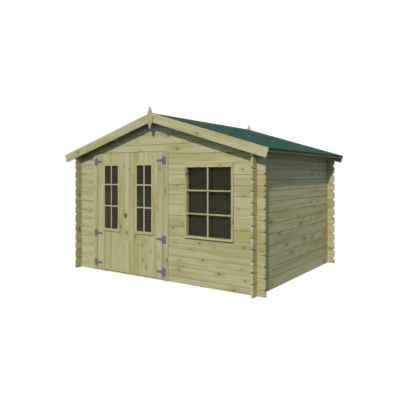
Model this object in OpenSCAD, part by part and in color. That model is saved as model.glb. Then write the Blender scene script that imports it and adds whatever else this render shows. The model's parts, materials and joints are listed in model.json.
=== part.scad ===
// Log cabin: cross-notched log walls, a pitched felt roof, a pair of glazed doors and a fixed window.
// Millimetres. The doors face -Y, +X is to the right seen from the doors, +Z is up.
// The origin lies on the ground under the middle of the cabin.

/* [Walls] */
// Width over the outer faces of the side walls
wall_width = 3170; // [2900:10:3600]
// Depth over the outer faces of the front and back walls
wall_depth = 2590; // [2000:10:3600]
// Thickness of a log
log_thickness = 28; // [24:1:34]
// Height that one log adds to a wall
log_pitch = 140; // [134:1:146]
// Extra height of the lowest logs
foot = 9; // [0:1:20]
// Extra height of the top logs of the side walls
eave_lift = 8; // [0:1:20]
// Courses of logs in a side wall
side_courses = 13; // [13:1:14]
// Length of a log head past the outer face of the wall that it crosses
head_length = 110; // [80:5:140]
// Length of the corners cut off the log heads
head_corner = 30; // [16:1:36]
// Height of those corners
head_corner_z = 28; // [16:1:32]
// Depth of the V along the joint between two logs
v_joint = 5; // [2:0.5:6]

/* [Roof] */
// Slope of the roof in degrees
roof_pitch = 16.8; // [14:0.1:19]
// Eaves past the outer face of the side walls
eave_overhang = 215; // [180:5:280]
// Thickness of the roof boards
roof_board = 20; // [15:1:24]
// Thickness of the felt
felt = 4; // [2:0.5:6]
// Depth of the felt fold at the eaves, from the top of the roof boards
felt_fold = 20; // [12:1:30]
// Width of the bargeboards
barge_width = 122; // [100:2:140]
// Rise of the bargeboards over the felt
barge_rise = 1; // [0:1:20]
// Thickness of bargeboards, finials and eave boards
trim_board = 18; // [15:1:24]
// Depth of the eave boards
eave_board = 43; // [36:1:56]
// Width of the purlins
purlin_width = 45; // [36:1:60]
// Depth of the side purlins
purlin_depth = 101; // [80:1:120]
// Depth of the ridge purlin
ridge_depth = 80; // [60:1:90]
// Distance of the side purlins from the middle
purlin_x = 745; // [650:5:850]
// Full width of a finial
finial_width = 130; // [90:2:150]
// Full height of a finial
finial_height = 317; // [260:1:350]
// Height of a finial over the ridge line of the bargeboards
finial_rise = 84; // [70:1:110]
// Height of a finial from its tip down to its widest point
finial_shoulder = 153; // [110:1:180]

/* [Doors] */
// Middle of the doorway, left of the middle of the cabin
doorway_x = -527; // [-600:1:-480]
// Width of the doorway between the posts
doorway_width = 1318; // [1200:2:1400]
// Distance of the post tops below the eaves
post_drop = 33; // [10:1:50]
// Width of a door post as seen from outside
post_face = 84; // [64:1:96]
// Distance that posts stand out from the wall, outside and inside
post_proud = 15; // [10:1:20]
// Width of the stop behind the leaves
door_stop = 18; // [14:1:24]
// Meeting line of the leaves, right of the middle of the doorway
meeting_x = 23; // [-40:1:40]
// Thickness of a leaf
leaf_thickness = 28; // [24:1:32]
// Gap round a leaf
leaf_gap = 6; // [5:0.5:8]
// Height of the threshold
threshold_height = 18; // [6:1:24]
// Thickness of the ledges on the inside of a leaf
ledge_thickness = 18; // [15:1:24]
// Height of a ledge
ledge_height = 78; // [60:1:90]
// Middle of the glazing, left of the middle of its leaf
pane_shift = 26; // [0:1:40]
// Clear width of the glazing in a leaf
pane_width = 276; // [240:2:320]
// Lower edge of the clear glazing in a leaf
pane_bottom = 659; // [630:1:680]
// Distance from the post tops down to the clear glazing in a leaf
pane_drop = 195; // [185:1:235]
// Width of the trim round the glazing in a leaf
pane_trim = 37; // [30:1:42]
// Thickness of that trim
pane_trim_depth = 10; // [8:1:14]
// Distance that its sill stands out past the trim
pane_sill_proud = 9; // [4:1:14]
// Thickness of the glass
glass = 4; // [3:0.5:6]
// Diameter of the door knob
knob_d = 50; // [40:1:56]
// Distance of the knob's far end from the leaf
knob_reach = 62; // [56:1:70]
// Distance of the knob from the meeting edge
knob_inset = 55; // [45:1:70]
// Height of the knob
knob_z = 888; // [800:1:960]

/* [Hinges] */
// Distance from the post tops down to the top hinges
hinge_drop = 131; // [110:1:150]
// Height of the middle hinges
hinge_middle_z = 574; // [540:1:580]
// Height of the bottom hinges
hinge_bottom_z = 119; // [105:1:140]
// Width of the plate on the post, from the pin
plate_width = 54; // [44:1:58]
// Height of the plate on the post
plate_height = 114; // [96:2:130]
// Length of the strap on the leaf, from the pin
strap_length = 118; // [90:1:124]
// Height of the strap near the pin
strap_root = 49; // [40:1:54]
// Height of the strap at its tip
strap_tip = 22; // [16:1:28]
// Thickness of the hinge metal
hinge_metal = 3; // [2.5:0.5:4]
// Outside radius of a knuckle
knuckle_r = 6; // [5:0.5:6.5]
// Radius of the hinge pin
pin_r = 3; // [2.5:0.25:3.5]
// Height of the strap's own knuckle
knuckle_height = 30; // [24:1:36]

/* [Window] */
// Middle of the window, right of the middle of the cabin
window_x = 884; // [820:2:930]
// Clear width of the window
window_width = 691; // [620:1:720]
// Courses of logs under the window opening, after the half log
window_first_course = 4; // [4:1:5]
// Courses of logs that the window opening cuts
window_courses = 7; // [6:1:7]
// Width of the frame beside the glass
frame_face = 30; // [28:1:36]
// Distance that the frame laps over the logs
frame_lap = 10; // [8:1:12]
// Height of the sill above the edge of the opening
frame_sill = 20; // [18:1:28]
// Height of the head below the edge of the opening
frame_head = 46; // [40:1:56]
// Distance that the sill laps down over the logs
sill_lap = 5; // [4:1:24]
// Distance that the frame stands out from the wall
frame_proud = 20; // [14:1:26]
// Further distance that the head stands out
head_proud = 8; // [4:1:12]
// Further distance that the sill stands out
sill_proud = 15; // [8:1:20]
// Depth of the glass behind the outer face of the wall
glass_depth = 36; // [18:1:37]
// Width of the rebate for the glass
rebate = 8; // [6:1:10]

/* [Fits] */
// Gap between pieces that bear on each other
fit = 0.4; // [0.2:0.1:0.8]
// Gap under metal, trim and glass
bed = 0.2; // [0.1:0.1:0.5]
// Running clearance round a hinge pin
pin_fit = 0.08; // [0.04:0.01:0.1]

/* [Hidden] */

pine = [0.70, 0.66, 0.48];
pine_trim = [0.66, 0.60, 0.40];
felt_green = [0.23, 0.36, 0.31];
metal = [0.42, 0.44, 0.48];
pane = [0.30, 0.32, 0.30, 0.55];
smooth = 64;

// Logs
log_mid = log_thickness / 2;
tongue_half = log_thickness * 0.18;
tongue_taper = 1.2;
tongue_rise = 8;
groove_half = tongue_half + fit;
groove_rise = tongue_rise + fit;
quarter = log_pitch / 4;
half_course = log_pitch / 2;
notch_half = log_mid + fit;
reach_over = tongue_rise + eave_lift + 1;
corner_in = 0.4;
corner_up = 0.36;
gable_corner = 0.6;
half_width = wall_width / 2;
half_depth = wall_depth / 2;
front_y = -half_depth;

// Roof lines: the underside of the roof boards meets the inner top edge of the side walls
slope = tan(roof_pitch);
eave_height = foot + side_courses * log_pitch + eave_lift;
inner_x = half_width - log_thickness;
apex = eave_height + slope * inner_x;
barge_top = fit + roof_board + bed + felt + barge_rise;
slope_length = (half_width + eave_overhang - barge_top * sin(roof_pitch)) / cos(roof_pitch);
head_clear = 2;
barge_back = half_depth + head_length + head_clear;
barge_front = barge_back + trim_board;
deck_end = barge_back - fit;
deck_length = slope_length - trim_board - felt - 2 * fit;
gable_courses = ceil((apex - ridge_depth / 4 - end_z(side_courses)) / log_pitch);
last_course = side_courses + gable_courses - 1;
ridge_line = apex + barge_top / cos(roof_pitch);

// Doors
face_y = front_y - post_proud;
post_height = eave_height - post_drop;
pane_top = post_height - pane_drop;
hinge_top_z = post_height - hinge_drop;
door_left = doorway_x - doorway_width / 2;
door_right = doorway_x + doorway_width / 2;
meeting = doorway_x + meeting_x;
post_groove = 12;
post_depth = log_thickness + 2 * post_proud;
log_end_left = door_left - post_face + post_groove - fit;
log_end_right = door_right + post_face - post_groove + fit;
cut_courses = floor((post_height + fit - foot) / log_pitch + 0.5);
left_leaf_0 = door_left + leaf_gap;
left_leaf_1 = meeting - leaf_gap / 2;
right_leaf_0 = meeting + leaf_gap / 2;
right_leaf_1 = door_right - leaf_gap;
leaf_bottom = threshold_height + leaf_gap;
leaf_top = post_height - leaf_gap;
stop_gap = 5;
stop_y = face_y + leaf_thickness + stop_gap;
back_y = face_y + post_depth;
left_pane_x = (left_leaf_0 + left_leaf_1) / 2 - pane_shift;
right_pane_x = (right_leaf_0 + right_leaf_1) / 2 - pane_shift;
pane_lap = 8;
trim_over = 3;
trim_under = 8;
sill_step = 6;
ledge_gap = 2;
ledge_clear = 16;
trim_top = pane_top + pane_trim + trim_over;
trim_bottom = pane_bottom - pane_trim - trim_under;
ledge_zs = [
    hinge_bottom_z,
    trim_bottom - ledge_height / 2 - ledge_gap,
    trim_top + ledge_height / 2 + ledge_gap
];
ledge_inset = door_stop + ledge_clear;

// Hinges
hinge_zs = [hinge_bottom_z, hinge_middle_z, hinge_top_z];
knuckle_clear = 0.3;
pin_y = face_y - bed - knuckle_r - knuckle_clear;
left_pin_x = door_left + leaf_gap / 2;
right_pin_x = door_right - leaf_gap / 2;
knuckle_gap = 0.5;

// Window
window_0 = window_x - window_width / 2;
window_1 = window_x + window_width / 2;
window_cut_0 = window_0 - frame_face + frame_lap;
window_cut_1 = window_1 + frame_face - frame_lap;
window_low = end_z(window_first_course + 1);
window_high = window_low + window_courses * log_pitch;
clear_low = window_low + frame_sill;
clear_high = window_high - frame_head;
frame_y = front_y - frame_proud;
glass_y = front_y + glass_depth;
sill_horn = 4;
over_course = window_first_course + window_courses + 1;

// Height of the roof underside over a distance from the middle
function roof_z(x) = apex - fit - slope * x;
// Distance from the middle at which the roof underside has a height
function roof_x(z) = (apex - fit - z) / slope;
// Lower edge of a course in a front or back wall; course 0 is the half log on the ground
function end_z(course) = course == 0 ? 0 : foot + (course - 0.5) * log_pitch;
// Lower edge of a course in a side wall
function side_z(course) = course == 0 ? 0 : foot + course * log_pitch;
// Point of the right roof slope: along the slope from the ridge, then out of it
function on_slope(s, n) = [
    s * cos(roof_pitch) + n * sin(roof_pitch),
    apex - s * sin(roof_pitch) + n * cos(roof_pitch)
];
// Height at the middle of a layer that lies a distance out of the slope
function at_ridge(n) = [0, apex + n / cos(roof_pitch)];

// Section of a log from its outer face: grooved below, or flat where it lies on the ground
function section_foot(flat) = flat
    ? [[0, 0], [log_thickness, 0]]
    : [
        [0, v_joint], [v_joint, 0], [log_mid - groove_half, 0], [log_mid - groove_half, groove_rise],
        [log_mid + groove_half, groove_rise], [log_mid + groove_half, 0], [log_thickness - v_joint, 0],
        [log_thickness, v_joint]
    ];
// Upper half of that section with its tongue
function section_crown(h) = [
    [log_thickness, h - v_joint], [log_thickness - v_joint, h], [log_mid + tongue_half, h],
    [log_mid + tongue_half - tongue_taper, h + tongue_rise],
    [log_mid - tongue_half + tongue_taper, h + tongue_rise],
    [log_mid - tongue_half, h], [v_joint, h], [0, h - v_joint]
];
// Upper half of the section of a top side log, bevelled to the roof
function section_bevel(h) = [[log_thickness, h], [0, h - slope * log_thickness]];

// Notch of a crossing in the edge of a log, read from left to right
function notch(x, edge, floor_z) = [
    [x - notch_half, edge], [x - notch_half, floor_z], [x + notch_half, floor_z], [x + notch_half, edge]
];
function reversed(points) = [for (i = [len(points) - 1:-1:0]) points[i]];

// Cut corner of a log head, from the end of the log to its edge; dx and dz point into the log
function head_cut(x, z, dx, dz, height) = [
    [x, z + dz * height],
    [x + dx * head_corner * corner_in, z + dz * height * corner_up],
    [x + dx * head_corner, z]
];

// Outline of a log in the plane of its wall, with heads and crossing notches where the flags ask for them
function log_outline(x0, x1, z0, z1, cross, head_0, head_1, low_notch, ground) = concat(
    head_0 && !ground ? head_cut(x0, z0, 1, 1, head_corner_z) : [[x0, z0]],
    head_0 && low_notch ? notch(-cross, z0, z1 - 3 * quarter + fit / 2) : [],
    head_1 && low_notch ? notch(cross, z0, z1 - 3 * quarter + fit / 2) : [],
    head_1 && !ground ? reversed(head_cut(x1, z0, -1, 1, head_corner_z)) : [[x1, z0]],
    head_1
        ? concat(head_cut(x1, z1, -1, -1, head_corner_z), [[x1 - head_corner, z1 + reach_over]])
        : [[x1, z1 + reach_over]],
    head_1 ? reversed(notch(cross, z1 + reach_over, z1 - quarter - fit / 2)) : [],
    head_0 ? reversed(notch(-cross, z1 + reach_over, z1 - quarter - fit / 2)) : [],
    head_0
        ? concat([[x0 + head_corner, z1 + reach_over]], reversed(head_cut(x0, z1, 1, -1, head_corner_z)))
        : [[x0, z1 + reach_over]]
);

// Outline of a gable log under the roof; the lowest one has heads and sits over the side walls
function gable_outline(z0, z1, cross, end) = concat(
    end < roof_x(z0)
        ? concat(
            head_cut(-end, z0, 1, 1, min(head_corner_z, gable_corner * (roof_z(end) - z0))),
            notch(-cross, z0, z0 + quarter + fit / 2),
            notch(cross, z0, z0 + quarter + fit / 2),
            reversed(head_cut(end, z0, -1, 1, min(head_corner_z, gable_corner * (roof_z(end) - z0)))),
            [[end, roof_z(end)]]
        )
        : [[-roof_x(z0), z0], [roof_x(z0), z0]],
    z1 + reach_over < apex - fit
        ? [[roof_x(z1 + reach_over), z1 + reach_over], [-roof_x(z1 + reach_over), z1 + reach_over]]
        : [[0, apex - fit]],
    end < roof_x(z0) ? [[-end, roof_z(end)]] : []
);

// Extrudes a drawing of width and height along the depth
module across(y0, y1) {
    translate([0, y1, 0])
        rotate([90, 0, 0])
            linear_extrude(y1 - y0)
                children();
}

// Extrudes a drawing of depth and height along the width
module along(x0, x1) {
    translate([x0, 0, 0])
        rotate([90, 0, 90])
            linear_extrude(x1 - x0)
                children();
}

module box(x0, x1, y0, y1, z0, z1) {
    translate([x0, y0, z0])
        cube([x1 - x0, y1 - y0, z1 - z0]);
}

// One log: its section run along the wall, cut to its outline
module log_solid(x0, x1, z0, section, outline) {
    intersection() {
        translate([0, 0, z0])
            along(x0, x1)
                polygon(section);
        across(-1, log_thickness + 1)
            polygon(outline);
    }
}

// A log of a front or back wall, lying with its outer face on Y = 0
module end_log(course, x0, x1, head_0, head_1) {
    z0 = end_z(course);
    h = course == 0 ? foot + half_course : log_pitch;
    log_solid(
        x0, x1, z0,
        concat(section_foot(course == 0), section_crown(h - fit)),
        log_outline(x0, x1, z0, z0 + h, half_width - log_mid, head_0, head_1, course > 0, course == 0)
    );
}

module full_end_log(course) {
    end_log(course, -half_width - head_length, half_width + head_length, true, true);
}

module gable_log(course) {
    z0 = end_z(course);
    end = half_width + head_length;
    difference() {
        log_solid(
            -end, end, z0,
            concat(section_foot(false), section_crown(log_pitch - fit)),
            gable_outline(z0, z0 + log_pitch, half_width - log_mid, end)
        );
        across(-2, log_thickness + 2) {
            polygon(ridge_section(fit));
            polygon(purlin_section(fit));
            mirror([1, 0])
                polygon(purlin_section(fit));
        }
    }
}

// A log of a side wall, in the same position as a front log
module side_log(course) {
    z0 = side_z(course);
    z1 = side_z(course + 1);
    h = z1 - z0 - fit;
    end = half_depth + head_length;
    log_solid(
        -end, end, z0,
        concat(
            section_foot(course == 0),
            course == side_courses - 1 ? section_bevel(h + eave_lift) : section_crown(h)
        ),
        log_outline(-end, end, z0, z1, half_depth - log_mid, true, true, true, course == 0)
    );
}

module on_front() {
    translate([0, front_y, 0])
        children();
}

module on_back() {
    rotate([0, 0, 180])
        translate([0, front_y, 0])
            children();
}

module on_side(turn) {
    rotate([0, 0, turn])
        translate([0, -half_width, 0])
            children();
}

module front_left_logs() {
    color(pine)
        on_front()
            for (course = [0:cut_courses - 1])
                end_log(course, -half_width - head_length, log_end_left, true, false);
}

module front_middle_logs() {
    color(pine)
        on_front()
            for (course = [window_first_course + 1:window_first_course + window_courses])
                end_log(course, log_end_right, window_cut_0, false, false);
}

module front_right_logs() {
    color(pine)
        on_front()
            for (course = [window_first_course + 1:window_first_course + window_courses])
                end_log(course, window_cut_1, half_width + head_length, false, true);
}

// Logs under and over the window, without a tongue along the opening
module front_window_logs() {
    color(pine)
        on_front()
            difference() {
                for (course = [0:cut_courses - 1])
                    if (course <= window_first_course || course >= over_course)
                        end_log(course, log_end_right, half_width + head_length, false, true);
                box(
                    window_cut_0, window_cut_1, -1, log_thickness + 1,
                    window_low - fit, window_high - log_pitch / 2
                );
            }
}

// The lowest log over the doorway: a length over the posts, and a stub on each side of it
module door_lintel_log() {
    color(pine)
        on_front()
            difference() {
                gable_log(cut_courses);
                box(log_end_left, log_end_right, -1, log_thickness + 1, 0, post_height + fit);
                for (x = [log_end_left, log_end_right])
                    box(x - fit / 2, x + fit / 2, -1, log_thickness + 1, 0, apex);
            }
}

module front_gable_logs() {
    color(pine)
        on_front()
            for (course = [cut_courses + 1:last_course])
                gable_log(course);
}

module left_wall_logs() {
    color(pine)
        on_side(-90)
            for (course = [0:side_courses - 1])
                side_log(course);
}

module right_wall_logs() {
    color(pine)
        on_side(90)
            for (course = [0:side_courses - 1])
                side_log(course);
}

module back_wall_logs() {
    color(pine)
        on_back()
            for (course = [0:side_courses - 1])
                full_end_log(course);
}

module back_gable_logs() {
    color(pine)
        on_back()
            for (course = [side_courses:last_course])
                gable_log(course);
}

// Sections of the purlins, grown by a clearance for the notches that hold them
function ridge_section(grow) = [
    [-purlin_width / 2 - grow, apex - ridge_depth - grow],
    [purlin_width / 2 + grow, apex - ridge_depth - grow],
    [purlin_width / 2 + grow, roof_z(purlin_width / 2) + grow * 2],
    [0, roof_z(0) + grow * 2],
    [-purlin_width / 2 - grow, roof_z(purlin_width / 2) + grow * 2]
];
function purlin_section(grow) = [
    [purlin_x - purlin_width / 2 - grow, apex - slope * purlin_x - purlin_depth - grow],
    [purlin_x + purlin_width / 2 + grow, apex - slope * purlin_x - purlin_depth - grow],
    [purlin_x + purlin_width / 2 + grow, roof_z(purlin_x + purlin_width / 2) + grow * 2],
    [purlin_x - purlin_width / 2 - grow, roof_z(purlin_x - purlin_width / 2) + grow * 2]
];

module ridge_purlin() {
    color(pine)
        across(-deck_end, deck_end)
            polygon(ridge_section(0));
}

module right_purlin() {
    color(pine)
        across(-deck_end, deck_end)
            polygon(purlin_section(0));
}

module left_purlin() {
    mirror([1, 0, 0])
        right_purlin();
}

module right_roof_boards() {
    low = fit;
    high = fit + roof_board;
    color(pine)
        across(-deck_end, deck_end)
            polygon([
                at_ridge(low) + [bed, -bed * slope], on_slope(deck_length, low),
                on_slope(deck_length, high), at_ridge(high) + [bed, -bed * slope]
            ]);
}

module left_roof_boards() {
    mirror([1, 0, 0])
        right_roof_boards();
}

// Board along the ends of the roof boards, under the felt fold
module right_eave_board() {
    high = fit + roof_board;
    s0 = deck_length + fit;
    s1 = s0 + trim_board;
    color(pine_trim)
        across(-deck_end, deck_end)
            polygon([
                on_slope(s0, high - eave_board), on_slope(s1, high - eave_board),
                on_slope(s1, high), on_slope(s0, high)
            ]);
}

module left_eave_board() {
    mirror([1, 0, 0])
        right_eave_board();
}

module right_roof_felt() {
    low = fit + roof_board + bed;
    high = low + felt;
    s1 = deck_length + fit + trim_board + fit;
    color(felt_green)
        across(-deck_end, deck_end)
            polygon([
                at_ridge(low) + [bed, -bed * slope], on_slope(s1, low), on_slope(s1, low - felt_fold),
                on_slope(s1 + felt, low - felt_fold), on_slope(s1 + felt, high),
                at_ridge(high) + [bed, -bed * slope]
            ]);
}

module left_roof_felt() {
    mirror([1, 0, 0])
        right_roof_felt();
}

module bargeboard() {
    low = barge_top - barge_width;
    across(-barge_front, -barge_back)
        polygon([
            at_ridge(low) + [bed, -bed * slope], on_slope(slope_length, low),
            on_slope(slope_length, barge_top), at_ridge(barge_top) + [bed, -bed * slope]
        ]);
}

module front_right_bargeboard() {
    color(pine_trim)
        bargeboard();
}

module front_left_bargeboard() {
    color(pine_trim)
        mirror([1, 0, 0])
            bargeboard();
}

module back_left_bargeboard() {
    color(pine_trim)
        rotate([0, 0, 180])
            bargeboard();
}

module back_right_bargeboard() {
    color(pine_trim)
        mirror([0, 1, 0])
            bargeboard();
}

module front_finial() {
    tip = ridge_line + finial_rise;
    color(pine_trim)
        across(-barge_front - bed - trim_board, -barge_front - bed)
            polygon([
                [0, tip - finial_height], [finial_width / 2, tip - finial_shoulder], [0, tip],
                [-finial_width / 2, tip - finial_shoulder]
            ]);
}

module back_finial() {
    rotate([0, 0, 180])
        front_finial();
}

// Plan of a post from the doorway outwards: grooved for the logs, with a stop behind the leaf
module post_plan() {
    lip_0 = post_proud - fit;
    lip_1 = post_proud + log_thickness + fit;
    stop_0 = stop_y - face_y;
    polygon([
        [0, 0], [post_face, 0], [post_face, lip_0], [post_face - post_groove, lip_0],
        [post_face - post_groove, lip_1], [post_face, lip_1], [post_face, post_depth],
        [-door_stop, post_depth], [-door_stop, stop_0], [0, stop_0]
    ]);
}

module door_right_post() {
    color(pine_trim)
        translate([door_right, face_y, 0])
            linear_extrude(post_height)
                post_plan();
}

module door_left_post() {
    color(pine_trim)
        translate([door_left, face_y, 0])
            mirror([1, 0, 0])
                linear_extrude(post_height)
                    post_plan();
}

// Rail behind the tops of the leaves, between the stops
module door_head() {
    color(pine_trim)
        box(
            door_left + door_stop + bed, door_right - door_stop - bed, stop_y, back_y,
            post_height - 2 * door_stop, post_height
        );
}

module door_threshold() {
    x0 = door_left + bed;
    x1 = door_right - bed;
    color(pine_trim)
        linear_extrude(threshold_height)
            polygon([
                [x0, front_y], [x1, front_y], [x1, stop_y - bed], [x1 - door_stop, stop_y - bed],
                [x1 - door_stop, back_y], [x0 + door_stop, back_y], [x0 + door_stop, stop_y - bed],
                [x0, stop_y - bed]
            ]);
}

module leaf(x0, x1, pane_x) {
    half = pane_width / 2 + pane_lap;
    difference() {
        box(x0, x1, face_y, face_y + leaf_thickness, leaf_bottom, leaf_top);
        box(
            pane_x - half, pane_x + half, face_y - 1, face_y + leaf_thickness + 1,
            pane_bottom - pane_lap, pane_top + pane_lap
        );
    }
}

module left_door_leaf() {
    color(pine)
        leaf(left_leaf_0, left_leaf_1, left_pane_x);
}

module right_door_leaf() {
    color(pine)
        leaf(right_leaf_0, right_leaf_1, right_pane_x);
}

// Trim round the glazing of a leaf: a frame with a sill outside, the same frame inside
module leaf_trim(pane_x) {
    half = pane_width / 2;
    outer = half + pane_trim;
    y1 = face_y - bed;
    y0 = y1 - pane_trim_depth;
    inside = face_y + leaf_thickness + bed;
    color(pine_trim) {
        difference() {
            union() {
                box(pane_x - outer, pane_x + outer, y0, y1, trim_bottom, trim_top);
                box(
                    pane_x - outer, pane_x + outer, y0 - pane_sill_proud, y0 + 1,
                    trim_bottom + trim_under, pane_bottom - sill_step
                );
            }
            box(pane_x - half, pane_x + half, y0 - 1, y1 + 1, pane_bottom, pane_top);
        }
        difference() {
            box(pane_x - outer, pane_x + outer, inside, inside + pane_trim_depth, trim_bottom, trim_top);
            box(
                pane_x - half, pane_x + half, inside - 1, inside + pane_trim_depth + 1,
                pane_bottom, pane_top
            );
        }
    }
}

module left_door_trim() {
    leaf_trim(left_pane_x);
}

module right_door_trim() {
    leaf_trim(right_pane_x);
}

module leaf_glass(pane_x) {
    half = pane_width / 2 + pane_lap - fit;
    color(pane)
        box(
            pane_x - half, pane_x + half, face_y, face_y + glass,
            pane_bottom - pane_lap + fit, pane_top + pane_lap - fit
        );
}

module left_door_glass() {
    leaf_glass(left_pane_x);
}

module right_door_glass() {
    leaf_glass(right_pane_x);
}

module leaf_ledges(x0, x1) {
    y0 = face_y + leaf_thickness + bed;
    color(pine)
        for (z = ledge_zs)
            box(x0, x1, y0, y0 + ledge_thickness, z - ledge_height / 2, z + ledge_height / 2);
}

module left_door_ledges() {
    leaf_ledges(door_left + ledge_inset, left_leaf_1 - ledge_inset);
}

module right_door_ledges() {
    leaf_ledges(right_leaf_0 + ledge_inset, door_right - ledge_inset);
}

module knuckle(z0, z1) {
    translate([0, 0, z0])
        cylinder(r = knuckle_r, h = z1 - z0, $fn = smooth);
}

// Strap of a hinge that opens about the origin, lying towards +X on a leaf behind it
module strap() {
    leaf_y = face_y - bed - pin_y;
    metal_y = leaf_y - hinge_metal;
    side = knuckle_r + 1;
    half = knuckle_height / 2;
    difference() {
        union() {
            knuckle(-half, half);
            box(0, side + 1, metal_y, leaf_y, -half, half);
            across(metal_y, leaf_y)
                polygon([
                    [side, -strap_root / 2], [strap_length - strap_tip / 4, -strap_tip / 2],
                    [strap_length, -strap_tip / 4], [strap_length, strap_tip / 4],
                    [strap_length - strap_tip / 4, strap_tip / 2], [side, strap_root / 2]
                ]);
        }
        translate([0, 0, -half - 1])
            cylinder(r = pin_r + pin_fit, h = knuckle_height + 2, $fn = smooth);
    }
}

// Plate of the same hinge with its two knuckles and the pin, lying towards -X on a post
module plate() {
    post_y = face_y - bed - pin_y;
    metal_y = post_y - hinge_metal;
    side = knuckle_r + 1;
    inner = knuckle_height / 2 + knuckle_gap;
    outer = plate_height / 2;
    union() {
        box(-plate_width, -side, metal_y, post_y, -outer, outer);
        for (part = [[inner, outer], [-outer, -inner]]) {
            knuckle(part[0], part[1]);
            box(-side - 1, 0, metal_y, post_y, part[0], part[1]);
        }
        translate([0, 0, -inner - 1])
            cylinder(r = pin_r, h = 2 * inner + 2, $fn = smooth);
    }
}

module at_left_hinges() {
    for (z = hinge_zs)
        translate([left_pin_x, pin_y, z])
            children();
}

module at_right_hinges() {
    for (z = hinge_zs)
        translate([right_pin_x, pin_y, z])
            mirror([1, 0, 0])
                children();
}

module left_hinge_straps() {
    color(metal)
        at_left_hinges()
            strap();
}

module right_hinge_straps() {
    color(metal)
        at_right_hinges()
            strap();
}

module left_hinge_plates() {
    color(metal)
        at_left_hinges()
            plate();
}

module right_hinge_plates() {
    color(metal)
        at_right_hinges()
            plate();
}

module door_knob() {
    color(metal)
        translate([left_leaf_1 - knob_inset, face_y - bed, knob_z])
            rotate([90, 0, 0]) {
                cylinder(r = knob_d * 0.42, h = 5, $fn = smooth);
                cylinder(r = knob_d * 0.18, h = knob_reach - knob_d / 2, $fn = smooth);
                translate([0, 0, knob_reach - knob_d / 2])
                    sphere(d = knob_d, $fn = smooth);
            }
}

// Plan of a window jamb from the glass outwards: lapping the logs, with a rebate for the glass
module jamb_plan() {
    wall_y = front_y - fit;
    inside = front_y + log_thickness + post_proud;
    stile = frame_face - frame_lap - fit;
    polygon([
        [0, frame_y], [frame_face, frame_y], [frame_face, wall_y], [stile, wall_y], [stile, inside],
        [rebate, inside], [rebate, glass_y], [0, glass_y]
    ]);
}

// A rail of the window between two heights: the part in the opening, and the board in front of it
module rail(z0, z1, board_z0, board_z1, proud, horn) {
    inside = front_y + log_thickness + post_proud;
    difference() {
        union() {
            box(window_cut_0 + fit, window_cut_1 - fit, front_y - fit, inside, z0, z1);
            box(
                window_0 - frame_face - horn, window_1 + frame_face + horn, frame_y - proud, front_y - fit,
                board_z0, board_z1
            );
        }
        box(
            window_0 - rebate, window_1 + rebate, glass_y, inside + 1,
            clear_low - rebate, clear_high + rebate
        );
    }
}

module window_frame() {
    color(pine_trim) {
        translate([window_1, 0, clear_low + fit])
            linear_extrude(clear_high - clear_low - 2 * fit)
                jamb_plan();
        translate([window_0, 0, clear_low + fit])
            mirror([1, 0, 0])
                linear_extrude(clear_high - clear_low - 2 * fit)
                    jamb_plan();
        rail(window_low + fit, clear_low, window_low - sill_lap, clear_low, sill_proud, sill_horn);
        rail(clear_high, window_high - fit, clear_high, window_high + frame_lap, head_proud, 0);
    }
}

module window_glass() {
    edge = rebate - fit;
    color(pane)
        box(
            window_0 - edge, window_1 + edge, glass_y + bed, glass_y + bed + glass,
            clear_low - edge, clear_high + edge
        );
}

front_left_logs();
front_middle_logs();
front_right_logs();
front_window_logs();
door_lintel_log();
front_gable_logs();
left_wall_logs();
right_wall_logs();
back_wall_logs();
back_gable_logs();
ridge_purlin();
left_purlin();
right_purlin();
left_roof_boards();
right_roof_boards();
left_roof_felt();
right_roof_felt();
left_eave_board();
right_eave_board();
front_left_bargeboard();
front_right_bargeboard();
back_left_bargeboard();
back_right_bargeboard();
front_finial();
back_finial();
door_left_post();
door_right_post();
door_head();
door_threshold();
left_door_leaf();
right_door_leaf();
left_door_trim();
right_door_trim();
left_door_glass();
right_door_glass();
left_door_ledges();
right_door_ledges();
left_hinge_straps();
right_hinge_straps();
left_hinge_plates();
right_hinge_plates();
door_knob();
window_frame();
window_glass();
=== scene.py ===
"""Looks of the log cabin: procedural pine, felt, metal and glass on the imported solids, with the boards,
glazing bars, screws and felt lap that the solids leave out. Metres, in the part's own frame; the doors
face -Y."""
import json
import math

import bmesh
import bpy
from mathutils import Matrix, Vector


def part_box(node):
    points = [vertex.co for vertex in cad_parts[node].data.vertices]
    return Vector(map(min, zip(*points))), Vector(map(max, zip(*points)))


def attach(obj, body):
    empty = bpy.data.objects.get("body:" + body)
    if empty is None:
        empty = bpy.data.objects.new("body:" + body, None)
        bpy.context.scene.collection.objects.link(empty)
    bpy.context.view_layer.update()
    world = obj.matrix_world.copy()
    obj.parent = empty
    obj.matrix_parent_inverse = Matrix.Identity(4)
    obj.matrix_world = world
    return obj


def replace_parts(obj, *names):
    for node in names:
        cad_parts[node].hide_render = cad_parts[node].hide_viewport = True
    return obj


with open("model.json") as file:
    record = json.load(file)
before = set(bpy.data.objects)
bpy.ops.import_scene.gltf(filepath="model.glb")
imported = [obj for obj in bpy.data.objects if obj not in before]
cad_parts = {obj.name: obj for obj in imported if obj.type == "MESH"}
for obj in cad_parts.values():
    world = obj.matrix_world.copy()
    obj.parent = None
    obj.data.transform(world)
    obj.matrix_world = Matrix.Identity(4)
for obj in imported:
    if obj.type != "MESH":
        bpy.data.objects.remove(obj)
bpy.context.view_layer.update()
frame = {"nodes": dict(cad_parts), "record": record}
nodes = frame["nodes"]

# Sizes that repeat the part's own
LOG_PITCH = 0.140
LOG_FOOT = 0.009
SLOPE = math.radians(16.8)
COS, SIN = math.cos(SLOPE), math.sin(SLOPE)
EAVE_X, EAVE_Z = 1.557, 1.837
APEX_Z = EAVE_Z + math.tan(SLOPE) * EAVE_X
GLAZING_FOOT = 0.659
DOOR_GLAZING_TOP = 1.609
WINDOW_TOP = 1.573
HINGE_HEIGHTS = (0.119, 0.574, 1.673)
HINGE_METAL = 0.003

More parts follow.
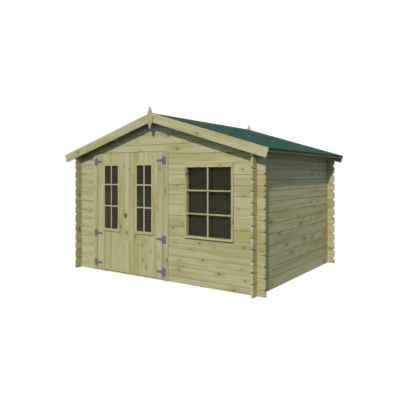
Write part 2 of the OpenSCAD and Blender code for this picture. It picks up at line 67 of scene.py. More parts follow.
# Gap that keeps touching faces apart, and width under which a board is left out
HAIR = 0.0002
SLIVER = 0.002

# Door boards: distance and number of the joints, the last joint of each leaf, and the V on their edges
BOARD_PITCH = 0.103
BOARD_JOINTS = 6
LAST_JOINT = dict(left=-0.590, right=0.0994)
BOARD_V = 0.0025

# Roof boards on each slope
PLANKS = 32
PLANK_THICK = 0.020
PLANK_V = 0.0035

# Upper sheet of felt: its reach down the slope, and the heights of its two faces over the slope
LAP_REACH = 0.95
LAP_UNDER, LAP_OVER = 0.0247, 0.0259

# Glazing bars: gap at their ends, and the share of their depth, up to a most, that eases the front edges
BAR_CLEAR = 0.0005
EASE_SHARE, EASE_DEPTH = 0.25, 0.012

# Knob and screws
KNOB_SIDES = 36
SCREW_SIDES = 14
SCREW_RADIUS = 0.0042

# Rounding of edges, the angle from which an edge is sharp, and the gap that is welded first
LOG_EDGE, TRIM_EDGE, BOARD_EDGE, METAL_EDGE = 0.0025, 0.0018, 0.0008, 0.0006
SHARP = math.radians(40.0)
WELD_GAP = 0.00002

# Painted shade in the seams between logs: distance from the joint where it starts and where it is darkest
SEAM_SHADE_START, SEAM_SHADE_FULL = 0.0075, 0.002

# How much shade is painted in the seams and how large the knots, on the front and on the sides
FRONT_SEAM_SHADE, SIDE_SEAM_SHADE = 0.12, 0.42
FRONT_KNOT, SIDE_KNOT = 1.0, 1.5


def srgb(r, g, b):
    """Linear colour of an 8-bit sRGB colour."""
    def linear(v):
        v /= 255
        return v / 12.92 if v <= 0.04045 else ((v + 0.055) / 1.055) ** 2.4
    return (linear(r), linear(g), linear(b), 1.0)


# Colours of the pine
PALE, OLIVE, YELLOW = srgb(185, 176, 140), srgb(165, 152, 103), srgb(166, 147, 87)
ROSE, LATEWOOD = srgb(186, 172, 139), srgb(143, 131, 80)
KNOT_HALO, KNOT_BROWN, KNOT_HEART = srgb(150, 137, 80), srgb(120, 104, 58), srgb(78, 66, 38)

# Painted shade in a strip on the right post: its colour, and its run of X with its strength
POST_PAINTED_SHADE = srgb(120, 116, 88)
POST_PAINTED_SHADE_RUN = (0.131, 0.166, 0.18)

# Tints that multiply the pine: painted shade on the eave boards, a tint on the finials; the stage's white
EAVE_PAINTED_SHADE = (0.52, 0.46, 0.40, 1.0)
FINIAL_TINT = (0.92, 0.92, 0.90, 1.0)
WHITE = (1.0, 1.0, 1.0, 1.0)


class Graph:
    """Short names for the nodes of one node tree. A value is a number, a colour or another node's socket."""

    def __init__(self, tree):
        self.tree = tree

    def add(self, kind, **props):
        """A new node with its properties set."""
        node = self.tree.nodes.new(kind)
        for key, value in props.items():
            setattr(node, key, value)
        return node

    def put(self, socket, value):
        """Link a socket or set its value. None leaves it as it is."""
        if isinstance(value, bpy.types.NodeSocket):
            self.tree.links.new(value, socket)
        elif value is not None:
            socket.default_value = value

    def made(self, node, values):
        """First output of a node whose first inputs take the values."""
        for socket, value in zip(node.inputs, values):
            self.put(socket, value)
        return node.outputs[0]

    def math(self, op, a, b=None, c=None):
        return self.made(self.add("ShaderNodeMath", operation=op), (a, b, c))

    def times(self, a, b):
        return self.math("MULTIPLY", a, b)

    def scaled(self, a, by, plus):
        """a times one value, plus another."""
        return self.math("MULTIPLY_ADD", a, by, plus)

    def length(self, a, b):
        """Length of a vector in the plane."""
        return self.math("SQRT", self.math("ADD", self.times(a, a), self.times(b, b)))

    def vector(self, x, y, z):
        return self.made(self.add("ShaderNodeCombineXYZ"), (x, y, z))

    def parts(self, v):
        """The three values of a vector or a colour."""
        node = self.add("ShaderNodeSeparateXYZ")
        self.put(node.inputs[0], v)
        return node.outputs

    def step(self, v, low, high, out_low=0.0, out_high=1.0):
        """Smooth step from out_low at low to out_high at high."""
        node = self.add("ShaderNodeMapRange", interpolation_type="SMOOTHSTEP")
        return self.made(node, (v, low, high, out_low, out_high))

    def noise(self, v, scale=1.0, detail=2.0, rough=0.5):
        node = self.add("ShaderNodeTexNoise")
        self.put(node.inputs["Vector"], v)
        self.put(node.inputs["Scale"], scale)
        self.put(node.inputs["Detail"], detail)
        self.put(node.inputs["Roughness"], rough)
        return node.outputs["Fac"]

    def mix(self, factor, a, b, blend="MIX"):
        """Mix of two colours, which are the Mix node's inputs 6 and 7 and output 2."""
        node = self.add("ShaderNodeMix", data_type="RGBA", blend_type=blend)
        self.put(node.inputs[0], factor)
        self.put(node.inputs[6], a)
        self.put(node.inputs[7], b)
        return node.outputs[2]

    def object_point(self):
        """Place in the part's own frame."""
        return self.add("ShaderNodeTexCoord").outputs["Object"]

    def seen(self):
        """1 for rays from the camera, by way of metal and glass too, and 0 for the light on the object."""
        path = self.add("ShaderNodeLightPath")
        glossy, through = path.outputs["Is Glossy Ray"], path.outputs["Is Transmission Ray"]
        return self.math("MAXIMUM", path.outputs["Is Camera Ray"], self.math("MAXIMUM", glossy, through))


# Pine, drawn in a board's own axes: along, across and into it
def grain_noise(g, at, cells, detail, rough=0.5, offset=None):
    """Noise with a number of cells a metre on each of the board's axes."""
    along, across, deep = at
    y = g.times(across, cells[1]) if offset is None else g.scaled(across, cells[1], offset)
    return g.noise(g.vector(g.times(along, cells[0]), y, g.times(deep, cells[2])), 1.0, detail, rough)


def knots(g, at, shift, size):
    """Masks of the knots, which some cells of a board have: core, heart, stained halo and swirl of rings."""
    along, across, _ = at
    cells_along, cells_across = 3.1, 8.5
    spot = g.vector(g.times(along, cells_along), g.scaled(across, cells_across, g.times(shift, 3.0)), 0.0)
    cell = g.add("ShaderNodeTexVoronoi", voronoi_dimensions="2D", feature="F1")
    g.put(cell.inputs["Vector"], spot)
    g.put(cell.inputs["Scale"], 1.0)
    g.put(cell.inputs["Randomness"], 0.9)
    centre, here = g.parts(cell.outputs["Position"]), g.parts(spot)
    dx = g.math("DIVIDE", g.math("SUBTRACT", here[0], centre[0]), cells_along)
    dy = g.math("DIVIDE", g.math("SUBTRACT", here[1], centre[1]), cells_across)
    chance, large, darker = g.parts(cell.outputs["Color"])
    there = g.step(chance, 0.36, 0.66)
    radius = g.times(g.scaled(g.times(large, large), 0.013, 0.0065), size)

    def reach(sx, sy):
        return g.math("DIVIDE", g.length(g.times(dx, sx), g.times(dy, sy)), radius)

    near = reach(0.8, 1.0)
    ragged = grain_noise(g, at, (110.0, 110.0, 1.0), 3.0)
    edge = g.scaled(ragged, 0.6, g.math("SUBTRACT", near, 0.3))
    core = g.times(g.step(edge, 1.2, 0.7), there)
    heart = g.times(g.times(g.step(edge, 0.8, 0.1), there), g.step(darker, 0.3, 0.6))
    smudge = grain_noise(g, at, (16.0, 34.0, 1.0), 3.0, 0.6)
    halo = g.scaled(smudge, 2.0, g.math("SUBTRACT", reach(0.34, 0.8), 1.0))
    halo = g.times(g.times(g.step(halo, 3.0, 0.4), there), g.step(large, 0.2, 0.9, 0.35, 1.0))
    swirl = g.times(g.step(near, 4.5, 0.8), there)
    return core, heart, halo, swirl


def latewood(g, at, chances, swirl):
    """Dark side of the growth rings round a pith behind the face, wandering along the board."""
    _, across, deep = at
    pith, back = g.scaled(chances[0], 0.16, -0.08), g.scaled(chances[1], 0.09, 0.03)
    out = g.length(g.math("SUBTRACT", across, pith), g.math("ADD", deep, back))
    wander = grain_noise(g, at, (0.9, 6.0, 6.0), 2.0)
    rings_per_metre = 130.0
    saw = g.math("FRACT", g.scaled(g.scaled(wander, 0.045, out), rings_per_metre, g.times(swirl, 2.4)))
    return g.times(g.step(saw, 0.15, 0.9), g.step(saw, 1.0, 0.92))


def pine_group():
    """Colour, roughness and height of planed pine. P is metres along, across and into the board, Seed the
    board's number, End 1 on end grain, Joint how much shade is painted in a seam and Knot how large
    the knots are."""
    tree = bpy.data.node_groups.new("pine", "ShaderNodeTree")
    inputs = dict(P="Vector", Seed="Float", End="Float", Joint="Float", Knot="Float")
    outputs = dict(Color="Color", Rough="Float", Height="Float")
    for way, sockets in (("INPUT", inputs), ("OUTPUT", outputs)):
        for name, kind in sockets.items():
            tree.interface.new_socket(name, in_out=way, socket_type="NodeSocket" + kind)
    g = Graph(tree)
    given, result = g.add("NodeGroupInput").outputs, g.add("NodeGroupOutput").inputs
    along, across, deep = g.parts(given["P"])
    white = g.add("ShaderNodeTexWhiteNoise", noise_dimensions="1D")
    g.put(white.inputs["W"], given["Seed"])
    chances = g.parts(white.outputs["Color"])
    shift = g.times(white.outputs["Value"], 57.0)
    at = (g.math("ADD", along, shift), across, deep)

    core, heart, halo, swirl = knots(g, at, shift, given["Knot"])
    late = latewood(g, at, chances, swirl)
    band = grain_noise(g, at, (0.8, 17.0, 15.0), 2.0, 0.5, shift)
    band = g.math("ADD", band, g.scaled(chances[2], 0.14, -0.07))
    gold = grain_noise(g, at, (1.1, 24.0, 20.0), 2.0, 0.5, g.times(shift, 1.7))
    stain = grain_noise(g, at, (3.4, 9.0, 1.0), 3.0, 0.6, g.times(shift, 2.0))
    fibre = grain_noise(g, at, (9.0, 420.0, 420.0), 3.0, 0.6)
    check = g.step(grain_noise(g, at, (3.0, 150.0, 30.0), 1.0, 0.5, shift), 0.78, 0.81)

    colour = g.mix(g.step(band, 0.38, 0.68, 0.0, 0.9), PALE, OLIVE)
    colour = g.mix(g.step(gold, 0.60, 0.72, 0.0, 0.62), colour, YELLOW)
    colour = g.mix(g.step(stain, 0.52, 0.74, 0.0, 0.40), colour, ROSE)
    colour = g.mix(g.step(stain, 0.40, 0.22, 0.0, 0.38), colour, LATEWOOD)
    colour = g.mix(g.times(late, g.scaled(given["End"], 0.14, 0.13)), colour, LATEWOOD)
    colour = g.mix(g.times(halo, 0.58), colour, KNOT_HALO)
    colour = g.mix(g.times(core, 0.86), colour, KNOT_BROWN)
    colour = g.mix(g.times(heart, 0.60), colour, KNOT_HEART)
    colour = g.mix(g.times(check, 0.35), colour, KNOT_HEART)
    tone = g.times(g.scaled(chances[0], 0.09, 0.945), g.scaled(fibre, 0.12, 0.94))
    tone = g.times(tone, g.scaled(given["End"], 0.05, 1.0))
    # Painted shade in the seams, a little greener than the wood
    seam = [g.scaled(given["Joint"], -depth, 1.0) for depth in (1.15, 0.9, 1.0)]
    shade = g.vector(*[g.times(tone, channel) for channel in seam])
    g.put(result["Color"], g.mix(1.0, colour, shade, "MULTIPLY"))
    g.put(result["Rough"], g.scaled(fibre, 0.14, g.scaled(late, -0.08, 0.62)))
    height = g.scaled(late, 0.5, g.times(fibre, 0.7))
    g.put(result["Height"], g.scaled(core, 0.5, g.scaled(check, -1.5, height)))
    return tree


PINE = pine_group()


def shader(name):
    """A new material with its node graph and its Principled shader."""
    material = bpy.data.materials.new(name)
    material.use_nodes = True
    return material, Graph(material.node_tree), material.node_tree.nodes["Principled BSDF"]


def bump(g, bsdf, height, strength, distance):
    """Relief of the finest grain."""
    node = g.add("ShaderNodeBump")
    g.put(node.inputs["Strength"], strength)
    g.put(node.inputs["Distance"], distance)
    g.put(node.inputs["Height"], height)
    g.put(bsdf.inputs["Normal"], node.outputs[0])


def turned(g, v, angle):
    """A vector turned about Y."""
    node = g.add("ShaderNodeVectorRotate", rotation_type="Y_AXIS")
    g.put(node.inputs["Vector"], v)
    g.put(node.inputs["Angle"], angle)
    return node.outputs[0]


def log_course(g, z, seed, first, seam):
    """Number of the log at a height, the height over its middle, and how much shade is painted in its
    seam. first is the share of a log that the lowest course lacks. The foot of the lowest course has no
    painted seam shade."""
    high = g.math("SUBTRACT", z, LOG_FOOT)
    level = g.math("FLOOR", g.math("ADD", g.math("DIVIDE", high, LOG_PITCH), first))
    level = g.math("MAXIMUM", level, 0.0)
    local = g.math("SUBTRACT", high, g.times(g.math("ADD", level, 0.5 - first), LOG_PITCH))
    half = LOG_PITCH / 2
    joint = g.step(g.math("ABSOLUTE", local), half - SEAM_SHADE_START, half - SEAM_SHADE_FULL)
    joint = g.times(joint, g.step(z, LOG_FOOT + 0.001, LOG_FOOT + 0.005, 0.0, seam))
    return g.math("ADD", level, seed), local, joint


def framed(g, p, end, number, at, nx, rails):
    """Turn upright grain to X under the first height of rails and over the second. Each rail, and the stile
    right of the third value, gets a board number of its own. The Mix node's vectors are its inputs 4 and 5
    and its output 1."""
    x, y, z = at
    over_number, under_number, right_number = 13.0, 29.0, 5.0
    over = g.step(z, rails[1] - HAIR, rails[1] + HAIR)
    under = g.step(z, rails[0] + HAIR, rails[0] - HAIR)
    rail = g.math("MAXIMUM", over, under)
    stile = g.math("SUBTRACT", 1.0, rail)
    turn = g.add("ShaderNodeMix", data_type="VECTOR")
    g.put(turn.inputs[0], rail)
    g.put(turn.inputs[4], p)
    g.put(turn.inputs[5], g.vector(x, z, y))
    end = g.math("ADD", g.times(end, stile), g.times(nx, rail))
    number = g.math("ADD", g.math("ADD", g.times(over, over_number), g.times(under, under_number)), number)
    right = g.step(x, rails[2] - 0.01, rails[2] + 0.01)
    number = g.math("ADD", number, g.times(g.times(right, stile), right_number))
    return turn.outputs[1], end, number


def wood(name, grain, seed, courses=None, seam=FRONT_SEAM_SHADE, tilt=0.0, numbered=False, strip=None, rails=None,
         tint=None, knot=FRONT_KNOT):
    """Pine whose grain runs along X, Y or Z, or down the roof (S), turned by tilt about Y. courses makes
    each log a board, and seam paints shade into their joints. numbered reads the board's number from the
    mesh. strip paints shade on X between two values, by a share. rails is for frames, tint multiplies the
    colour, and knot scales the knots."""
    material, g, bsdf = shader(name)
    coordinates = g.add("ShaderNodeTexCoord").outputs
    point, normal = coordinates["Object"], coordinates["Normal"]
    if tilt:
        point, normal = turned(g, point, tilt), turned(g, normal, tilt)
    x, y, z = g.parts(point)
    nx, ny, nz = g.parts(normal)
    number, joint = seed, 0.0
    if courses is not None:
        number, z, joint = log_course(g, z, seed, courses, seam)
    if numbered:
        stored = g.add("ShaderNodeAttribute", attribute_name="board")
        number = g.math("ADD", stored.outputs["Fac"], seed)
    ways = dict(X=(x, z, y, nx), Y=(y, z, x, ny), Z=(z, x, y, nz), S=(x, y, z, nx))
    along, across, deep, end = ways[grain]
    p = g.vector(along, across, deep)
    if rails:
        p, end, number = framed(g, p, end, number, (x, y, z), nx, rails)
    pine = g.add("ShaderNodeGroup")
    pine.node_tree = PINE
    g.put(pine.inputs["P"], p)
    g.put(pine.inputs["Seed"], number)
    g.put(pine.inputs["End"], g.step(g.math("ABSOLUTE", end), 0.6, 0.9))
    g.put(pine.inputs["Joint"], joint)
    g.put(pine.inputs["Knot"], knot)
    colour = pine.outputs["Color"]
    # Painted shade on a run of X, such as the strip on the right post
    if strip:
        low, high, share = strip
        inside = g.times(g.step(x, low, low + 0.002), g.step(x, high, high - 0.002))
        colour = g.mix(g.times(inside, share), colour, POST_PAINTED_SHADE)
    if tint:
        colour = g.mix(1.0, colour, tint, "MULTIPLY")
    g.put(bsdf.inputs["Base Color"], colour)
    g.put(bsdf.inputs["Roughness"], pine.outputs["Rough"])
    g.put(bsdf.inputs["Specular IOR Level"], 0.3)
    bump(g, bsdf, pine.outputs["Height"], 0.35, 0.0006)
    return material


def felt_material():
    """Green mineral felt: clouds, the streaks of the roll, and grains of lighter and darker slate."""
    material, g, bsdf = shader("roof_felt")
    point = g.object_point()
    x, y, z = g.parts(point)
    patch = g.noise(point, 2.2, 4.0, 0.6)
    roll = g.noise(g.vector(g.times(x, 9.0), g.times(y, 0.7), z), 1.0, 3.0)
    grit = g.add("ShaderNodeTexVoronoi", feature="F1")
    g.put(grit.inputs["Vector"], point)
    g.put(grit.inputs["Scale"], 620.0)
    light, dark, gloss = g.parts(grit.outputs["Color"])
    colour = g.mix(g.step(patch, 0.3, 0.7), srgb(49, 79, 66), srgb(57, 89, 76))
    colour = g.mix(g.times(g.step(roll, 0.45, 0.75), 0.4), colour, srgb(61, 94, 81))
    colour = g.mix(g.step(light, 0.72, 0.95, 0.0, 0.45), colour, srgb(82, 112, 100))
    colour = g.mix(g.step(dark, 0.7, 0.95, 0.0, 0.55), colour, srgb(20, 40, 34))
    g.put(bsdf.inputs["Base Color"], colour)
    g.put(bsdf.inputs["Roughness"], g.scaled(gloss, 0.14, 0.84))
    g.put(bsdf.inputs["Specular IOR Level"], 0.03)
    bump(g, bsdf, g.scaled(patch, 2.0, g.scaled(dark, 0.7, grit.outputs["Distance"])), 0.5, 0.0012)
    return material


def metal_material(name, light, dark, metallic, rough):
    """Zinc or steel with clouds and fine flakes."""
    material, g, bsdf = shader(name)
    point = g.object_point()
    cloud = g.noise(point, 38.0, 4.0, 0.6)
    flake = g.noise(point, 420.0, 2.0)
    g.put(bsdf.inputs["Base Color"], g.mix(g.step(cloud, 0.35, 0.7), light, dark))
    g.put(bsdf.inputs["Metallic"], metallic)
    g.put(bsdf.inputs["Roughness"], g.scaled(cloud, 0.22, rough))
    bump(g, bsdf, g.scaled(flake, 0.5, cloud), 0.12, 0.0004)
    return material


def glass_material():
    """Brown-tinted glass with a cloudy film, and paler lower down."""
    material, g, bsdf = shader("window_glass")
    point = g.object_point()
    film = g.noise(point, 7.0, 4.0, 0.6)
    colour = g.mix(g.step(film, 0.3, 0.75), srgb(150, 140, 118), srgb(138, 128, 106))
    # Paler lower down
    paler_low = g.step(g.scaled(film, 0.1, g.parts(point)[2]), 1.36, 1.18)
    g.put(bsdf.inputs["Base Color"], g.mix(g.times(paler_low, 0.7), colour, srgb(163, 157, 132)))
    g.put(bsdf.inputs["Roughness"], g.times(film, 0.03))
    g.put(bsdf.inputs["IOR"], 1.22)
    g.put(bsdf.inputs["Specular Tint"], (1.0, 0.94, 0.72, 1.0))
    g.put(bsdf.inputs["Transmission Weight"], 0.94)
    return material


# Mesh helpers
def linked(name, data):
    """A new object in the scene."""
    ob = bpy.data.objects.new(name, data)
    bpy.context.scene.collection.objects.link(ob)
    return ob


def piece(name, bm, body, material, smooth=False):
    """A new piece from a mesh, riding on a body, with a material."""
    mesh = bpy.data.meshes.new(name)
    bmesh.ops.recalc_face_normals(bm, faces=bm.faces)
    bm.normal_update()
    bm.to_mesh(mesh)
    bm.free()
    for polygon in mesh.polygons:
        polygon.use_smooth = smooth
    ob = linked(name, mesh)
    mesh.materials.append(material)
    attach(ob, body)
    return ob


def rounded(ob, width, segments=1, weld=False):
    """Bevel the sharp edges; weld closes a CAD mesh first, whose faces don't share points."""
    if weld:
        ob.modifiers.new("weld", "WELD").merge_threshold = WELD_GAP
    bevel = ob.modifiers.new("edges", "BEVEL")
    bevel.width = width
    bevel.segments = segments
    bevel.limit_method = "ANGLE"
    bevel.angle_limit = SHARP


def axes(origin, u, v):
    """Matrix whose first two axes are u and v, at an origin."""
    u, v = Vector(u), Vector(v)
    matrix = Matrix((u, v, u.cross(v))).transposed().to_4x4()
    matrix.translation = Vector(origin)
    return matrix


def skin(bm, rows):
    """Closed skin over rows of points that run round, with one face on the first row and one on the last."""
    count = len(rows[0])
    for a, b in zip(rows, rows[1:]):
        for k in range(count):
            bm.faces.new((a[k], a[(k + 1) % count], b[(k + 1) % count], b[k]))
    bm.faces.new(list(reversed(rows[0])))
    bm.faces.new(rows[-1])


def board(bm, ends, tag, number):
    """Skin of one board between the points of its two ends, which carry its number."""
    rows = [[bm.verts.new(point) for point in end] for end in ends]
    for vert in rows[0] + rows[1]:
        vert[tag] = number
    skin(bm, rows)


def prism(bm, outline, place, length, tag, number):
    """Straight board: an outline in the first two axes of place, run along its third axis."""
    ends = [[place @ Vector((u, v, w)) for u, v in outline] for w in (0.0, length)]
    board(bm, ends, tag, number)


def lathe(bm, centre, profile, segments):
    """Surface turned about Y. Each point of the profile is a radius and a distance in front of the centre."""
    x, y, z = centre
    turns = [math.tau * k / segments for k in range(segments)]
    rings = []
    for r, h in profile:
        around = turns if r else turns[:1]
        rings.append([bm.verts.new((x + r * math.cos(t), y - h, z + r * math.sin(t))) for t in around])
    for a, b in zip(rings, rings[1:]):
        for k in range(segments):
            after = (k + 1) % segments
            if len(a) == 1:
                bm.faces.new((a[0], b[k], b[after]))
            elif len(b) == 1:
                bm.faces.new((a[k], a[after], b[0]))
            else:
                bm.faces.new((a[k], a[after], b[after], b[k]))


def v_board(width, thick, v):
    """Section of a matched board: width by thickness, with V edges on both faces."""
    return [(v, 0.0), (width - v, 0.0), (width, v), (width, thick - v), (width - v, thick), (v, thick),
            (0.0, thick - v), (0.0, v)]


# Materials on the solids
def dress(names, material):
    """One material on each of the nodes, in place of their own."""
    for name in names:
        nodes[name].data.materials.clear()
        nodes[name].data.materials.append(material)


def dress_wood(names, grain, seed, stride=7.0, **look):
    """Pine on several nodes. stride is how far apart their board numbers start."""
    for i, name in enumerate(names):
        dress([name], wood("pine_" + name, grain, seed + i * stride, **look))


def dress_frame(name, top, seed):
    """Pine on a frame of two stiles between two rails."""
    low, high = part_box(name)
    dress_wood([name], "Z", seed, rails=(GLAZING_FOOT - BAR_CLEAR, top + BAR_CLEAR, (low.x + high.x) / 2))


front_and_back = ("front_left_logs", "front_middle_logs", "front_right_logs", "front_window_logs",
                  "door_lintel_log", "front_gable_logs", "back_wall_logs", "back_gable_logs")
side_walls = ("left_wall_logs", "right_wall_logs")
dress_wood(front_and_back, "X", 11.0, 36.0, courses=0.5)
dress_wood(side_walls, "Y", 301.0, 36.0, courses=0.0, seam=SIDE_SEAM_SHADE, knot=SIDE_KNOT)
dress_wood(("ridge_purlin", "left_purlin", "right_purlin"), "Y", 401.0)
# Eave boards darkened by painted shade
dress_wood(("left_eave_board", "right_eave_board"), "Y", 422.0, tint=EAVE_PAINTED_SHADE)
dress_wood(("front_left_bargeboard", "back_left_bargeboard"), "X", 501.0, 14.0, tilt=SLOPE)
dress_wood(("front_right_bargeboard", "back_right_bargeboard"), "X", 508.0, 14.0, tilt=-SLOPE)
dress_wood(("front_finial", "back_finial"), "Z", 604.0, tint=FINIAL_TINT)
dress_wood(("door_left_post",), "Z", 615.0)
# Right post with a strip of painted shade
dress_wood(("door_right_post",), "Z", 622.0, strip=POST_PAINTED_SHADE_RUN)
dress_wood(("door_head", "door_threshold", "left_door_ledges", "right_door_ledges"), "X", 701.0)
dress_frame("left_door_trim", DOOR_GLAZING_TOP, 801.0)
dress_frame("right_door_trim", DOOR_GLAZING_TOP, 871.0)
dress_frame("window_frame", WINDOW_TOP, 941.0)
felt = felt_material()
zinc = metal_material("hinge_metal", srgb(107, 109, 114), srgb(87, 90, 95), 0.35, 0.42)
steel = metal_material("knob_metal", srgb(128, 130, 136), srgb(96, 99, 108), 0.6, 0.3)
bright = metal_material("screw_metal", srgb(150, 152, 158), srgb(110, 112, 118), 0.8, 0.3)
dress(("left_roof_felt", "right_roof_felt"), felt)
dress(("left_hinge_straps", "right_hinge_straps", "left_hinge_plates", "right_hinge_plates"), zinc)
dress(("door_knob",), steel)
dress(("left_door_glass", "right_door_glass", "window_glass"), glass_material())

# Softer edges on the solids that stay
for name, ob in nodes.items():
    if name.endswith("logs") or name == "door_lintel_log":
        rounded(ob, LOG_EDGE, 2, weld=True)
    elif any(word in name for word in ("bargeboard", "finial", "post", "trim", "window_frame")):
        rounded(ob, TRIM_EDGE, 2, weld=True)
    elif "hinge" in name:
        rounded(ob, METAL_EDGE, 2, weld=True)


# Doors
def leaf_boards(side, seed):
    """Matched boards of a door leaf, cut round its glazing. Joints run left from the last one."""
    low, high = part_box(side + "_door_leaf")
    glass_low, glass_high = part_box(side + "_door_glass")
    left, right = glass_low.x - 2 * HAIR, glass_high.x + 2 * HAIR
    foot, head = glass_low.z - 2 * HAIR, glass_high.z + 2 * HAIR
    joints = [LAST_JOINT[side] - BOARD_PITCH * k for k in reversed(range(BOARD_JOINTS))]
    edges = [low.x] + joints + [high.x]
    bm = bmesh.new()
    tag = bm.verts.layers.float.new("board")
    for i, (x0, x1) in enumerate(zip(edges, edges[1:])):
        spans = [(x0, x1, low.z, high.z)]
        if x1 > left and x0 < right:
            spans = [(x0, x1, low.z, foot), (x0, x1, head, high.z)]
            spans += [(x0, left, foot, head), (right, x1, foot, head)]
        for a, b, bottom, top in spans:
            if b - a > SLIVER:
                section = v_board(b - a - 2 * HAIR, high.y - low.y, BOARD_V)
                place = axes((a + HAIR, low.y, bottom), (1, 0, 0), (0, 1, 0))
                prism(bm, section, place, top - bottom, tag, i)
    name = side + "_leaf_boards"
    ob = piece(name, bm, side + "_door", wood("pine_" + name, "Z", seed, numbered=True))
    rounded(ob, BOARD_EDGE)
    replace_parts(ob, side + "_door_leaf")


leaf_boards("left", 901.0)
leaf_boards("right", 941.0)


# Roof
def on_roof(way, along, y, over):
    """Point by a slope (way -1 left, 1 right): metres down the slope, place in Y and height over it."""
    return Vector((way * (along * COS + over * SIN), y, APEX_Z - along * SIN + over * COS))


def roof_planks(side, way, seed):
    """Matched boards from the ridge to the eave, with the ridge end upright."""
    node = side + "_roof_boards"
    low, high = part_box(node)
    ridge, reach = sorted((abs(low.x), abs(high.x)))
    eave = (reach - (PLANK_THICK + 2 * HAIR) * SIN) / COS
    width = (high.y - low.y) / PLANKS
    section = [(u, 2 * HAIR + n) for u, n in v_board(width - 2 * HAIR, PLANK_THICK, PLANK_V)]
    bm = bmesh.new()
    tag = bm.verts.layers.float.new("board")
    for i in range(PLANKS):
        y = low.y + i * width + HAIR
        top_end = [on_roof(way, (ridge - n * SIN) / COS, y + u, n) for u, n in section]
        low_end = [on_roof(way, eave, y + u, n) for u, n in section]
        board(bm, (top_end, low_end), tag, i)
    material = wood("pine_" + node, "S", seed, tilt=-way * SLOPE, numbered=True)
    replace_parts(piece(side + "_roof_planks", bm, "cabin", material), node)


roof_planks("left", -1.0, 1301.0)
roof_planks("right", 1.0, 1341.0)


def felt_upper_sheet():
    """Sheet of felt over the ridge, lapped over the lower sheets, with slightly wavy edges. Way 0 is the
    ridge itself."""
    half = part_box("left_roof_felt")[1].y - 2 * HAIR
    steps = 40
    bm = bmesh.new()
    rows = []
    for i in range(steps + 1):
        y = -half + 2 * half * i / steps
        wave = 0.003 * math.sin(5.1 * y + 0.6) + 0.002 * math.sin(13.0 * y)
        lap = LAP_REACH + wave
        row = []
        for over, ways in ((LAP_UNDER, (-1, 0, 1)), (LAP_OVER, (1, 0, -1))):
            row += [on_roof(way, lap if way else -over * SIN / COS, y, over) for way in ways]
        rows.append([bm.verts.new(point) for point in row])
    skin(bm, rows)
    piece("felt_upper_sheet", bm, "cabin", felt)


felt_upper_sheet()


# Glazing bars
def bar_piece(name, body, runs, seed, grain):
    """Bars with eased front edges. Each run is a low and a high corner."""
    bm = bmesh.new()
    tag = bm.verts.layers.float.new("board")
    for i, (low, high) in enumerate(runs):
        size = Vector(high) - Vector(low)
        if grain == "Z":
            width, length, place = size.x, size.z, axes(low, (1, 0, 0), (0, 1, 0))
        else:
            width, length, place = size.z, size.x, axes((high[0], low[1], low[2]), (0, 0, 1), (0, 1, 0))
        deep = size.y
        ease = EASE_SHARE * min(deep, EASE_DEPTH)
        outline = [(ease, 0.0), (width - ease, 0.0), (width, ease), (width, deep), (0.0, deep), (0.0, ease)]
        prism(bm, outline, place, length, tag, i)
    ob = piece(name, bm, body, wood("pine_" + name, grain, seed, numbered=True))
    rounded(ob, BOARD_EDGE)


def glazing_bars(name, body, glass, half, top, rails, width, upright_y, rail_y, laps, seed, offset=0.0):
    """One upright, moved by offset from the middle of the glass, and rails at heights. half is half the
    clear width, and laps is how far the rails run onto the frame at the left and at the right."""
    low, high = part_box(glass)
    middle, h = (low.x + high.x) / 2, width / 2
    upright = ((middle + offset - h, upright_y[0], GLAZING_FOOT + BAR_CLEAR),
               (middle + offset + h, upright_y[1], top - BAR_CLEAR))
    bar_piece(name + "_upright", body, [upright], seed, "Z")
    runs = [((middle - half - laps[0], rail_y[0], z - h), (middle + half + laps[1], rail_y[1], z + h))
            for z in rails]
    bar_piece(name + "_rails", body, runs, seed + 5, "X")


for side, seed in (("left", 1001.0), ("right", 1021.0)):
    door_glass = side + "_door_glass"
    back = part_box(door_glass)[0].y - HAIR
    glazing_bars(side + "_door_bars", side + "_door", door_glass, half=0.138, top=DOOR_GLAZING_TOP,
                 rails=(1.325, 1.001), width=0.019, upright_y=(-1.3190, back), rail_y=(-1.3232, back),
                 laps=(0.012, 0.005), seed=seed)
glazing_bars("window_bars", "cabin", "window_glass", half=0.3455, top=WINDOW_TOP, rails=(1.2665, 0.9575),
             width=0.020, upright_y=(-1.3150, -1.3030), rail_y=(-1.3205, -1.3060), laps=(0.016, 0.012),
             seed=1201.0, offset=-0.006)


# Knob and screws
def turned_knob():
    """Knob with a rose, a neck and a slightly flat ball, in the place of the plain one. The rose and neck
    are given as shares of the ball's radius, and metres in front of the door."""
    low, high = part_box("door_knob")
    ball, deep = (high.x - low.x) / 2, high.y - low.y
    flat = 0.96 * ball
    rose_and_neck = ((0.0, 0.0), (0.68, 0.0), (0.72, 0.001), (0.72, 0.003), (0.68, 0.0042), (0.50, 0.0052),
                     (0.40, 0.0075), (0.38, 0.0105))
    profile = [(share * ball, h) for share, h in rose_and_neck]
    steps, first_angle, sweep = 14, -66.0, 156.0
    for k in range(steps):
        t = math.radians(first_angle + sweep * k / steps)
        profile.append((ball * math.cos(t), deep - flat + flat * math.sin(t)))
    profile.append((0.0, deep))
    bm = bmesh.new()
    lathe(bm, ((low.x + high.x) / 2, high.y, (low.z + high.z) / 2), profile, KNOB_SIDES)
    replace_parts(piece("turned_knob", bm, "left_door", steel, True), "door_knob")


turned_knob()


def screws(name, body, places):
    """Domed screw heads with a dished middle."""
    shape = ((0.0, 0.42), (0.45, 0.5), (0.8, 0.32), (1.0, 0.0))
    dome = [(r * SCREW_RADIUS, h * SCREW_RADIUS) for r, h in shape]
    bm = bmesh.new()
    for place in places:
        lathe(bm, place, dome, SCREW_SIDES)
    piece(name, bm, body, bright, True)


